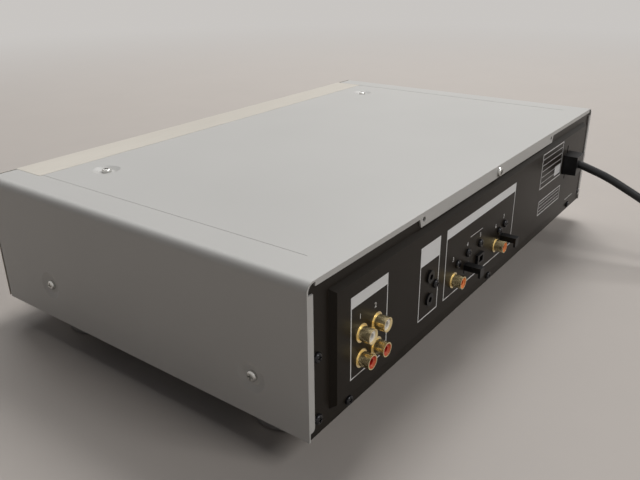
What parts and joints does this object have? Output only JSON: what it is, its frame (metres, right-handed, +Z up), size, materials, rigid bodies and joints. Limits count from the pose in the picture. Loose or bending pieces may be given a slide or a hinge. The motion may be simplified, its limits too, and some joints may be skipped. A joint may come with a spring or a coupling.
{
  "type": "minidisc deck",
  "caption": "Full-width home minidisc deck: folded sheet cover, black rear panel with sockets, slot front with buttons and knobs, disc mechanism and coiled mains lead.",
  "frame": {"origin": "under the middle of the case, on the surface the feet stand on", "axes": "+X to the right seen from the front, +Y to the rear, +Z up"},
  "size_m": [0.4894, 0.5356, 0.1076],
  "materials": {
    "cover": "satin metallic",
    "face": "satin",
    "black_metal": "satin black",
    "sheet_steel": "zinc plated",
    "bright_screw": "bright",
    "black_screw": "black oxide",
    "black_plastic": "matte",
    "gold_shell": "gold plated",
    "white_plastic": "gloss",
    "red_plastic": "gloss",
    "orange_plastic": "gloss",
    "foot": "satin silver",
    "foot_pad": "matte",
    "button": "satin metallic",
    "knob": "spun",
    "window": "smoked",
    "tube": "clear",
    "board": "solder resist",
    "core": "laminated",
    "winding": "taped",
    "capacitor": "sleeved",
    "steel": "bright",
    "nylon": "natural",
    "cord": "satin",
    "plug_pin": "nickel"
  },
  "bodies": {
    "case": {"top_cover": "cover", "bottom_chassis": "sheet_steel", "rear_panel": "black_metal", "front_panel": "face", "front_frame_left": "black_plastic", "front_frame_right": "black_plastic", "display_window": "window", "display_tube": "tube", "front_board": "board", "feet": "foot", "foot_pads": "foot_pad", "case_screws": "bright_screw", "rear_screws": "black_screw", "line_housing": "black_plastic", "line_shells": "gold_shell", "white_inserts": "white_plastic", "red_inserts": "red_plastic", "control_sockets": "black_plastic", "coax_housings": "black_plastic", "coax_shells": "gold_shell", "coax_inserts": "orange_plastic", "optical_sockets": "black_plastic", "strain_relief": "black_plastic", "power_cord": "cord", "cord_coil": "cord", "cord_tail": "cord", "mains_plug": "black_plastic", "plug_pins": "plug_pin", "transformer_core": "core", "transformer_winding": "winding", "main_board": "board", "board_posts": "nylon", "capacitors": "capacitor", "mech_bracket": "sheet_steel", "mech_base": "steel", "spindle_motor": "steel", "guide_rods": "steel", "sled_motor": "steel", "loading_motor": "steel", "knob_controls": "black_plastic", "headphone_socket": "black_plastic"},
    "flap": {"slot_flap": "black_plastic"},
    "power": {"power_button": "button"},
    "eject": {"eject_button": "button"},
    "play": {"play_button": "button"},
    "pause": {"pause_button": "button"},
    "stop": {"stop_button": "button"},
    "record": {"record_button": "button"},
    "jog": {"jog_knob": "knob"},
    "level": {"level_knob": "knob"},
    "timer": {"timer_switch": "button"},
    "cap_1": {"optical_cap_1": "black_plastic"},
    "cap_2": {"optical_cap_2": "black_plastic"},
    "turntable": {"turntable": "nylon"},
    "sled": {"pickup_sled": "black_plastic"},
    "lead_screw": {"lead_screw": "steel"},
    "holder": {"disc_holder": "steel"},
    "slider": {"cam_slider": "steel"},
    "gear": {"loading_gear": "nylon"},
    "arm": {"head_arm": "steel"}
  },
  "joints": [
    {"name": "flap_swing", "type": "hinge", "parent": "case", "child": "flap", "pos_m": [-0.095, -0.1301, 0.0872], "axis": [1, 0, 0], "range_deg": [0, 80], "stiffness_Nm_per_rad": 0.0004, "springref_deg": -17.19},
    {"name": "power_press", "type": "slide", "parent": "case", "child": "power", "axis": [0, 1, 0], "range_m": [0, 0.0008], "stiffness_N_per_m": 300, "springref_m": -0.0005},
    {"name": "eject_press", "type": "slide", "parent": "case", "child": "eject", "axis": [0, 1, 0], "range_m": [0, 0.0008], "stiffness_N_per_m": 300, "springref_m": -0.0005},
    {"name": "play_press", "type": "slide", "parent": "case", "child": "play", "axis": [0, 1, 0], "range_m": [0, 0.0008], "stiffness_N_per_m": 300, "springref_m": -0.0005},
    {"name": "pause_press", "type": "slide", "parent": "case", "child": "pause", "axis": [0, 1, 0], "range_m": [0, 0.0008], "stiffness_N_per_m": 300, "springref_m": -0.0005},
    {"name": "stop_press", "type": "slide", "parent": "case", "child": "stop", "axis": [0, 1, 0], "range_m": [0, 0.0008], "stiffness_N_per_m": 300, "springref_m": -0.0005},
    {"name": "record_press", "type": "slide", "parent": "case", "child": "record", "axis": [0, 1, 0], "range_m": [0, 0.0008], "stiffness_N_per_m": 300, "springref_m": -0.0005},
    {"name": "jog_turn", "type": "hinge", "parent": "case", "child": "jog", "pos_m": [0.149, -0.14, 0.057], "axis": [0, -1, 0], "continuous": true},
    {"name": "level_turn", "type": "hinge", "parent": "case", "child": "level", "pos_m": [0.191, -0.14, 0.057], "axis": [0, -1, 0], "range_deg": [-150, 150]},
    {"name": "timer_slide", "type": "slide", "parent": "case", "child": "timer", "axis": [1, 0, 0], "range_m": [-0.004, 0.004]},
    {"name": "cap_1_pull", "type": "slide", "parent": "case", "child": "cap_1", "axis": [0, 1, 0], "range_m": [0, 0.012]},
    {"name": "cap_2_pull", "type": "slide", "parent": "case", "child": "cap_2", "axis": [0, 1, 0], "range_m": [0, 0.012]},
    {"name": "disc_spin", "type": "hinge", "parent": "case", "child": "turntable", "pos_m": [-0.095, -0.0835, 0.07], "axis": [0, 0, 1], "continuous": true},
    {"name": "sled_slide", "type": "slide", "parent": "case", "child": "sled", "axis": [1, 0, 0], "range_m": [0, 0.014]},
    {"name": "lead_turn", "type": "hinge", "parent": "case", "child": "lead_screw", "pos_m": [-0.07, -0.0565, 0.068], "axis": [1, 0, 0], "range_deg": [0, 1690]},
    {"name": "slider_slide", "type": "slide", "parent": "case", "child": "slider", "axis": [0, 1, 0], "range_m": [0, 0.012]},
    {"name": "holder_drop", "type": "slide", "parent": "case", "child": "holder", "axis": [0, 0, 1], "range_m": [-0.005, 0]},
    {"name": "gear_turn", "type": "hinge", "parent": "case", "child": "gear", "pos_m": [-0.15, -0.0835, 0.067], "axis": [0, 0, 1], "range_deg": [0, 86]},
    {"name": "arm_swing", "type": "hinge", "parent": "sled", "child": "arm", "pos_m": [-0.0783, -0.045, 0.09], "axis": [1, 0, 0], "range_deg": [0, 14.1]}
  ],
  "couplings": [
    {"joint": "lead_turn", "follows": "sled_slide", "rad_per_m": 2094.4},
    {"joint": "holder_drop", "follows": "slider_slide", "ratio": -0.41667},
    {"joint": "gear_turn", "follows": "slider_slide", "rad_per_m": 125},
    {"joint": "arm_swing", "follows": "slider_slide", "rad_per_m": 20.36}
  ]
}
